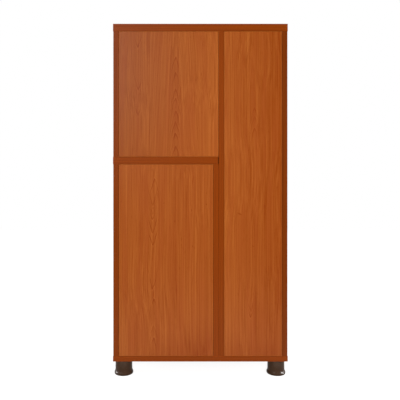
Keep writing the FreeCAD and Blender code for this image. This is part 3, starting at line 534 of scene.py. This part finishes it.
def edgeBand(name, along, kind, outerShade=None):
    s = bandSettings
    tint = s[kind]
    material, tree = newMaterial(name)
    place = ownPlaces(tree)[1]
    fineness = [1 / s["lineLength"] if axis in along else 1 / s["lineWidth"] for axis in "xyz"]
    scaled = addNode(tree, "ShaderNodeVectorMath", [place, fineness], operation="MULTIPLY")
    line = addNode(tree, "ShaderNodeTexNoise", {"Vector": scaled.outputs[0], "Scale": 1.0,
                                                "Detail": s["lineDetail"]})
    tone = addNode(tree, "ShaderNodeMapRange", [line.outputs[0], *s["lineRange"], 0.0, 1.0])
    colour = addNode(tree, "ShaderNodeMix", {0: tone.outputs[0], 6: linearColour(tint["light"]),
                                             7: linearColour(tint["dark"])}, data_type="RGBA").outputs[2]
    # painted shade: the bands darken away from the middle towards the outer sides, where the light falls off
    if outerShade:
        axes = addNode(tree, "ShaderNodeSeparateXYZ", [place])
        aside = addNode(tree, "ShaderNodeMath", [axes.outputs[0], outerShade["middle"]], operation="SUBTRACT")
        gap = addNode(tree, "ShaderNodeMath", [aside.outputs[0]], operation="ABSOLUTE")
        share = addNode(tree, "ShaderNodeMapRange", [gap.outputs[0], *outerShade["places"], *outerShade["paintedShadeShares"]])
        colour = addNode(tree, "ShaderNodeVectorMath", {0: colour, "Scale": share.outputs[0]},
                         operation="SCALE").outputs[0]
    rough = addNode(tree, "ShaderNodeMapRange", [line.outputs[0], *s["lineRange"], *tint["roughness"]])
    bump = addNode(tree, "ShaderNodeBump", {"Height": line.outputs[0], "Strength": s["lineBump"],
                                            "Distance": s["lineDepth"] * mm})
    finishMaterial(tree, addNode(tree, "ShaderNodeBsdfPrincipled", {
        "Base Color": colour, "Roughness": rough.outputs[0], "Normal": bump.outputs[0],
        "IOR": s["ior"], "Specular IOR Level": s["specular"],
    }))
    return material


# Hardboard: pressed fibre, smooth and printed on the inside, with the press screen's weave on the outside
hardboardSettings = {
    "inside": "#9C5A33",
    "light": "#8A6242",
    "dark": "#6E4A2E",
    "fibre": 1.6,
    "fibreDetail": 3.0,
    "weave": 1.5,
    "wavesPerUnit": 3.2,                 # that a wave texture has at scale 1
    "weaveBump": 0.4,
    "weaveDepth": 0.3,
    "frontFacing": -0.5,                 # surfaces turned further forward than this are the inside
    "roughness": (0.6, 0.8),
    "specular": 0.3,
}


def hardboard(name):
    s = hardboardSettings
    material, tree = newMaterial(name)
    coords, place = ownPlaces(tree)
    fibre = addNode(tree, "ShaderNodeTexNoise", {"Vector": place, "Scale": 1 / s["fibre"],
                                                 "Detail": s["fibreDetail"]})
    waves = []
    for direction in "XZ":
        wave = addNode(tree, "ShaderNodeTexWave", {
            "Vector": place, "Scale": 1 / s["weave"] / s["wavesPerUnit"],
        }, bands_direction=direction)
        waves.append(wave.outputs["Fac"])
    weave = addNode(tree, "ShaderNodeMath", waves, operation="MULTIPLY")
    raw = addNode(tree, "ShaderNodeMix", {0: fibre.outputs[0], 6: linearColour(s["light"]),
                                          7: linearColour(s["dark"])}, data_type="RGBA")
    normal = addNode(tree, "ShaderNodeSeparateXYZ", [coords.outputs["Normal"]])
    front = addNode(tree, "ShaderNodeMath", [normal.outputs[1], s["frontFacing"]], operation="LESS_THAN")
    colour = addNode(tree, "ShaderNodeMix", {0: front.outputs[0], 6: raw.outputs[2],
                                             7: linearColour(s["inside"])}, data_type="RGBA")
    outside = addNode(tree, "ShaderNodeMath", [1.0, front.outputs[0]], operation="SUBTRACT")
    height = addNode(tree, "ShaderNodeMath", [weave.outputs[0], outside.outputs[0]], operation="MULTIPLY")
    bump = addNode(tree, "ShaderNodeBump", {"Height": height.outputs[0], "Strength": s["weaveBump"],
                                            "Distance": s["weaveDepth"] * mm})
    rough = addNode(tree, "ShaderNodeMapRange", [fibre.outputs[0], 0.0, 1.0, *s["roughness"]])
    finishMaterial(tree, addNode(tree, "ShaderNodeBsdfPrincipled", {
        "Base Color": colour.outputs[2], "Roughness": rough.outputs[0], "Normal": bump.outputs[0],
        "Specular IOR Level": s["specular"],
    }))
    return material


# Moulded plastics: one colour through and through, with a fine spark-eroded grain
plasticSettings = {
    "foot": {"light": "#4A3323", "dark": "#3D2A1C", "roughness": (0.25, 0.36), "specular": 0.08,
             "grain": 1.2},
    "latch": {"light": "#9A9A98", "dark": "#8A8A88", "roughness": (0.4, 0.51), "specular": 0.4,
              "grain": 0.9},
    "plunger": {"light": "#3B3B3C", "dark": "#303031", "roughness": (0.35, 0.46), "specular": 0.4,
                "grain": 0.9},
    "detail": 2.0,
    "grainBump": 0.12,
    "grainDepth": 0.1,
    "cloud": 18.0,                       # the size of the patches in which it is darker and duller
    "cloudRange": (0.3, 0.7),
    "ior": 1.49,
}


def mouldedPlastic(name, kind):
    s = plasticSettings
    own = s[kind]
    material, tree = newMaterial(name)
    place = ownPlaces(tree)[1]
    grain = addNode(tree, "ShaderNodeTexNoise", {"Vector": place, "Scale": 1 / own["grain"],
                                                 "Detail": s["detail"]})
    cloud = addNode(tree, "ShaderNodeTexNoise", {"Vector": place, "Scale": 1 / s["cloud"],
                                                 "Detail": s["detail"]})
    colour = addNode(tree, "ShaderNodeMix", {0: cloud.outputs[0], 6: linearColour(own["light"]),
                                             7: linearColour(own["dark"])}, data_type="RGBA")
    rough = addNode(tree, "ShaderNodeMapRange", [cloud.outputs[0], *s["cloudRange"], *own["roughness"]])
    bump = addNode(tree, "ShaderNodeBump", {"Height": grain.outputs[0], "Strength": s["grainBump"],
                                            "Distance": s["grainDepth"] * mm})
    finishMaterial(tree, addNode(tree, "ShaderNodeBsdfPrincipled", {
        "Base Color": colour.outputs[2], "Roughness": rough.outputs[0], "Normal": bump.outputs[0],
        "IOR": s["ior"], "Specular IOR Level": own["specular"],
    }))
    return material


# Plated and cast metals: the plating's tone wanders a little, and handling leaves it smoother in places
metalSettings = {
    "nickel": {"light": "#CFCAC2", "dark": "#B5AFA6", "roughness": (0.17, 0.33), "patch": 7.0},
    "zinc": {"light": "#C9CDD2", "dark": "#A9ADB4", "roughness": (0.27, 0.43), "patch": 4.0},
    "casting": {"light": "#B9BABC", "dark": "#9C9DA0", "roughness": (0.41, 0.57), "patch": 2.0},
    "patchDetail": 4.0,
    "patchRange": (0.3, 0.7),
}


def platedMetal(name, kind):
    s = metalSettings
    own = s[kind]
    material, tree = newMaterial(name)
    place = ownPlaces(tree)[1]
    patch = addNode(tree, "ShaderNodeTexNoise", {"Vector": place, "Scale": 1 / own["patch"],
                                                 "Detail": s["patchDetail"]})
    colour = addNode(tree, "ShaderNodeMix", {0: patch.outputs[0], 6: linearColour(own["light"]),
                                             7: linearColour(own["dark"])}, data_type="RGBA")
    rough = addNode(tree, "ShaderNodeMapRange", [patch.outputs[0], *s["patchRange"], *own["roughness"]])
    finishMaterial(tree, addNode(tree, "ShaderNodeBsdfPrincipled", {
        "Base Color": colour.outputs[2], "Roughness": rough.outputs[0], "Metallic": 1.0,
    }))
    return material


# Beech dowels: pale, close-grained, with short flecks
beechSettings = {
    "light": "#D9B384",
    "dark": "#B98A58",
    "fleckSize": (0.6, 0.6, 5.0),
    "fleckDetail": 2.0,
    "roughness": 0.65,
}


def beech(name):
    s = beechSettings
    material, tree = newMaterial(name)
    place = ownPlaces(tree)[1]
    fineness = [1 / size for size in s["fleckSize"]]
    scaled = addNode(tree, "ShaderNodeVectorMath", [place, fineness], operation="MULTIPLY")
    fleck = addNode(tree, "ShaderNodeTexNoise", {"Vector": scaled.outputs[0], "Scale": 1.0,
                                                 "Detail": s["fleckDetail"]})
    colour = addNode(tree, "ShaderNodeMix", {0: fleck.outputs[0], 6: linearColour(s["light"]),
                                             7: linearColour(s["dark"])}, data_type="RGBA")
    finishMaterial(tree, addNode(tree, "ShaderNodeBsdfPrincipled", {
        "Base Color": colour.outputs[2], "Roughness": s["roughness"],
    }))
    return material


def dress(names, material):
    for name in names:
        slots = nodes[name].data.materials
        if len(slots):
            for i in range(len(slots)):
                slots[i] = material
        else:
            slots.append(material)


def namedWith(*endings):
    return [name for name in nodes if name.endswith(endings)]


for door in doorNames:
    dress([f"{door}_door_panel"], cherryMelamine(f"cherryMelamine_{door}Door", figures=doorFigures[door],
                                                 flecks=doorFlecks[door], toneAndPaintedShade=doorToneAndPaintedShade[door]))
dress(namedWith("side_panel", "divider_panel"),
      cherryMelamine("cherryMelamine_uprights", grain="z", face="x"))
dress(["top_panel", "mid_panel", "base_panel", *namedWith("_shelf")],
      cherryMelamine("cherryMelamine_flats", grain="x", face="z"))
dress(["upright_edge_bands"], edgeBand("absEdgeBand_upright", "z", "carcass", bandSettings["outerSidesPaintedShade"]))
dress(["top_edge_bands", "mid_edge_bands", "base_edge_bands", "shelf_edge_bands"],
      edgeBand("absEdgeBand_flat", "xy", "carcass"))
dress(namedWith("_door_edge_bands"), edgeBand("absEdgeBand_door", "z", "door"))
dress(namedWith("back_panel"), hardboard("screenBackHardboard"))
dress(namedWith("_foot"), mouldedPlastic("polypropylene_foot", "foot"))
dress(namedWith("housing"), mouldedPlastic("abs_latch", "latch"))
dress(namedWith("plunger"), mouldedPlastic("acetal_plunger", "plunger"))
nickel = platedMetal("nickelPlatedSteel", "nickel")
zinc = platedMetal("zincPlatedSteel", "zinc")
dress(["hinge_arms", "hinge_mounting_plates"], nickel)
dress(namedWith("_cups", "_pins", "_plate"), nickel)
dress(namedWith("_stud", "_bolts"), zinc)
dress(["cam_discs", "insert_nuts"], platedMetal("zincDieCasting", "casting"))
dress(["dowels"], beech("beechDowel"))
print("materials on", len(nodes), "nodes")


def newGeometryTree(name, sizes):
    tree = bpy.data.node_groups.new(name, "GeometryNodeTree")
    tree.interface.new_socket("Places", in_out="INPUT", socket_type="NodeSocketGeometry")
    for size in sizes:
        tree.interface.new_socket(size, in_out="INPUT", socket_type="NodeSocketFloat")
    tree.interface.new_socket("Finish", in_out="INPUT", socket_type="NodeSocketMaterial")
    tree.interface.new_socket("Mesh", in_out="OUTPUT", socket_type="NodeSocketGeometry")
    return tree, addNode(tree, "NodeGroupInput").outputs


# puts the single piece on the places, along each place's axis and turned round it by up to twist
def finishGeometryTree(tree, given, single, twist=0.0, seed=7):
    axis = addNode(tree, "GeometryNodeInputNamedAttribute", {"Name": "axis"}, data_type="FLOAT_VECTOR")
    aligned = addNode(tree, "FunctionNodeAlignRotationToVector", {"Vector": axis.outputs["Attribute"]},
                      axis="Z")
    angle = addNode(tree, "FunctionNodeRandomValue", {2: 0.0, 3: twist, "Seed": seed}, data_type="FLOAT")
    turn = addNode(tree, "FunctionNodeAxisAngleToRotation", {"Axis": (0, 0, 1), "Angle": angle.outputs[1]})
    turned = addNode(tree, "FunctionNodeRotateRotation", [aligned.outputs[0], turn.outputs[0]],
                     rotation_space="LOCAL")
    points = addNode(tree, "GeometryNodeMeshToPoints", {"Mesh": given["Places"]})
    placed = addNode(tree, "GeometryNodeInstanceOnPoints", {"Points": points.outputs[0], "Instance": single,
                                                            "Rotation": turned.outputs[0]})
    real = addNode(tree, "GeometryNodeRealizeInstances", [placed.outputs[0]])
    dressed = addNode(tree, "GeometryNodeSetMaterial", {"Geometry": real.outputs[0],
                                                        "Material": given["Finish"]})
    addNode(tree, "NodeGroupOutput", [dressed.outputs[0]])


# cross-recessed screws that hold the hinges and the latches
screwSizes = ("Head Diameter", "Head Height", "Recess Length", "Recess Width", "Recess Depth")
screwSettings = {
    "cup": (7.0, 1.8, 3.6, 0.9, 1.2),
    "plate": (7.5, 1.8, 3.8, 0.9, 1.2),
    "arm": (8.5, 1.4, 4.6, 1.2, 1.0),
    "latch": (6.0, 1.6, 3.2, 0.8, 1.0),
}
screwMesh = {
    "segments": 28,
    "rings": 14,
    "block": (2.4, 2.4, 1.0),            # what takes the ball's lower half away, in radii and head heights
    "twist": math.pi / 2,
}


# a domed head: the upper half of a flattened ball, less the two bars of the cross recess
def screwHeadTree():
    s = screwMesh
    tree, given = newGeometryTree("screwHeads", screwSizes)
    radius = addNode(tree, "ShaderNodeMath", [given["Head Diameter"], 0.5], operation="MULTIPLY")
    size = addNode(tree, "ShaderNodeCombineXYZ", [radius.outputs[0], radius.outputs[0], given["Head Height"]])
    ball = addNode(tree, "GeometryNodeMeshUVSphere", {"Segments": s["segments"], "Rings": s["rings"],
                                                      "Radius": 1.0})
    dome = addNode(tree, "GeometryNodeTransform", {"Geometry": ball.outputs[0], "Scale": size.outputs[0]})
    drop = addNode(tree, "ShaderNodeMath", [given["Head Height"], -0.5], operation="MULTIPLY")
    under = addNode(tree, "ShaderNodeCombineXYZ", {2: drop.outputs[0]})
    block = addNode(tree, "GeometryNodeMeshCube", {"Size": s["block"]})
    lower = addNode(tree, "GeometryNodeTransform", {"Geometry": block.outputs[0], "Scale": size.outputs[0],
                                                    "Translation": under.outputs[0]})
    head = addNode(tree, "GeometryNodeMeshBoolean", {"Mesh 1": dome.outputs[0], "Mesh 2": lower.outputs[0]},
                   operation="DIFFERENCE")
    above = addNode(tree, "ShaderNodeCombineXYZ", {2: given["Head Height"]})
    deep = addNode(tree, "ShaderNodeMath", [given["Recess Depth"], 2.0], operation="MULTIPLY")
    for x, y in (("Recess Length", "Recess Width"), ("Recess Width", "Recess Length")):
        span = addNode(tree, "ShaderNodeCombineXYZ", [given[x], given[y], deep.outputs[0]])
        bar = addNode(tree, "GeometryNodeMeshCube", {"Size": span.outputs[0]})
        top = addNode(tree, "GeometryNodeTransform", {"Geometry": bar.outputs[0],
                                                      "Translation": above.outputs[0]})
        tree.links.new(top.outputs[0], head.inputs["Mesh 2"])
    finishGeometryTree(tree, given, head.outputs[0], s["twist"])
    return tree


# threaded rod of each foot: a ridge wound round a core
threadSettings = {"Core Radius": 4.45, "Ridge Radius": 0.55, "Pitch": 1.5, "Length": 55.5}
threadMesh = {"turnSteps": 16, "ridgeSides": 4, "coreSides": 24}


def threadTree():
    s = threadMesh
    tree, given = newGeometryTree("threadedRods", threadSettings)
    wound = addNode(tree, "ShaderNodeMath", [given["Length"], given["Pitch"]], operation="SUBTRACT")
    turns = addNode(tree, "ShaderNodeMath", [wound.outputs[0], given["Pitch"]], operation="DIVIDE")
    spiral = addNode(tree, "GeometryNodeCurveSpiral", {
        "Resolution": s["turnSteps"], "Rotations": turns.outputs[0], "Start Radius": given["Core Radius"],
        "End Radius": given["Core Radius"], "Height": wound.outputs[0],
    })
    profile = addNode(tree, "GeometryNodeCurvePrimitiveCircle", {"Resolution": s["ridgeSides"],
                                                                 "Radius": given["Ridge Radius"]})
    ridge = addNode(tree, "GeometryNodeCurveToMesh", {"Curve": spiral.outputs[0],
                                                      "Profile Curve": profile.outputs[0], "Fill Caps": True})
    start = addNode(tree, "ShaderNodeMath", [given["Pitch"], 0.5], operation="MULTIPLY")
    raised = addNode(tree, "ShaderNodeCombineXYZ", {2: start.outputs[0]})
    ridge = addNode(tree, "GeometryNodeTransform", {"Geometry": ridge.outputs[0],
                                                    "Translation": raised.outputs[0]})
    core = addNode(tree, "GeometryNodeMeshCylinder", {
        "Vertices": s["coreSides"], "Radius": given["Core Radius"], "Depth": given["Length"],
    })
    middle = addNode(tree, "ShaderNodeMath", [given["Length"], 0.5], operation="MULTIPLY")
    lifted = addNode(tree, "ShaderNodeCombineXYZ", {2: middle.outputs[0]})
    core = addNode(tree, "GeometryNodeTransform", {"Geometry": core.outputs[0],
                                                   "Translation": lifted.outputs[0]})
    rod = addNode(tree, "GeometryNodeJoinGeometry", [ridge.outputs[0]])
    tree.links.new(core.outputs[0], rod.inputs[0])
    finishGeometryTree(tree, given, rod.outputs[0])
    return tree


# one plain zinc-plated mesh from a tree, for one body; a place is a point and the axis that a piece has there
def makeRepeats(name, tree, lengths, places, body):
    mesh = bpy.data.meshes.new(name)
    mesh.from_pydata([point for point, axis in places], [], [])
    axes = mesh.attributes.new("axis", "FLOAT_VECTOR", "POINT")
    axes.data.foreach_set("vector", [part for point, axis in places for part in axis])
    piece = bpy.data.objects.new(name, mesh)
    bpy.context.scene.collection.objects.link(piece)
    modifier = piece.modifiers.new(name, "NODES")
    modifier.node_group = tree
    for item in tree.interface.items_tree:
        if item.name in lengths:
            modifier[item.identifier] = lengths[item.name] * mm
        elif item.name == "Finish":
            modifier[item.identifier] = zinc
    evaluated = piece.evaluated_get(bpy.context.evaluated_depsgraph_get())
    plain = bpy.data.meshes.new_from_object(evaluated)
    piece.modifiers.clear()
    piece.data = plain
    bpy.data.meshes.remove(mesh)
    plain.name = name
    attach(piece, body)
    return piece


screwPlaces = {
    "hingeGap": 50.0,                    # parts of pins further apart than this belong to two hinges
    "cupFromMiddle": 24.0,               # up and down from the hinge
    "plateFromMiddle": 17.0,
    "plateFromFront": 10.5,              # back from the front end of the mounting plate
    "plateFace": 2.5,                    # from the side panel
    "armFromRear": (8.0, 25.0),
    "armFace": 6.5,
    "latchFromMiddle": 11.5,
    "latchFromFront": (10.0, 30.0),
    "latchFace": 2.5,
}


# the heights of a door's hinges, from where its pins stand
def hingeHeights(door):
    heights = sorted(vertex.co.z for vertex in nodes[f"{door}_door_hinge_pins"].data.vertices)
    clusters = [[heights[0]]]
    for height in heights[1:]:
        if height - clusters[-1][-1] > screwPlaces["hingeGap"] * mm:
            clusters.append([])
        clusters[-1].append(height)
    return [(cluster[0] + cluster[-1]) / 2 for cluster in clusters]


def screwLengths(kind):
    return dict(zip(screwSizes, screwSettings[kind]))


def makeScrews():
    s = screwPlaces
    tree = screwHeadTree()
    plates, arms, latches = [], [], []
    plateLow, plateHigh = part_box("hinge_mounting_plates")
    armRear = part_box("hinge_arms")[1].y
    for door in doorNames:
        low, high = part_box(f"{door}_door_hinge_cups")
        inward = 1 if low.x < 0 else -1
        panelFace = plateLow.x if inward == 1 else plateHigh.x
        plateFace = panelFace + inward * s["plateFace"] * mm
        armFace = panelFace + inward * s["armFace"] * mm
        cups = []
        for height in hingeHeights(door):
            for side in (-1, 1):
                cupHeight = height + side * s["cupFromMiddle"] * mm
                cups.append((((low.x + high.x) / 2, high.y, cupHeight), (0, 1, 0)))
                plateHeight = height + side * s["plateFromMiddle"] * mm
                plateDepth = plateLow.y + s["plateFromFront"] * mm
                plates.append(((plateFace, plateDepth, plateHeight), (inward, 0, 0)))
            for rear in s["armFromRear"]:
                arms.append(((armFace, armRear - rear * mm, height), (inward, 0, 0)))
        makeRepeats(f"{door}DoorCupScrews", tree, screwLengths("cup"), cups, f"{door}_door")
        low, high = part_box(f"{door}_latch_housing")
        middle = (low.z + high.z) / 2
        latchFace = high.x - s["latchFace"] * mm if inward == 1 else low.x + s["latchFace"] * mm
        for side, back in zip((-1, 1), s["latchFromFront"]):
            latchHeight = middle + side * s["latchFromMiddle"] * mm
            latches.append(((latchFace, low.y + back * mm, latchHeight), (-inward, 0, 0)))
    for kind, places in (("plate", plates), ("arm", arms), ("latch", latches)):
        makeRepeats(f"{kind}Screws", tree, screwLengths(kind), places, "carcass")
    print("screws:", len(plates) + len(arms) + len(latches), "on the carcass")


def makeThreads():
    tree = threadTree()
    for end in ("front", "rear"):
        for side in ("left", "right"):
            body = f"{end}_{side}_foot"
            low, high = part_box(f"{body}_stud")
            foot = ((low.x + high.x) / 2, (low.y + high.y) / 2, low.z)
            rod = makeRepeats(f"{end}{side.title()}ThreadedRod", tree, threadSettings, [(foot, (0, 0, 1))],
                              body)
            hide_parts(f"{body}_stud")
    print("threaded rods in place")


makeScrews()
makeThreads()
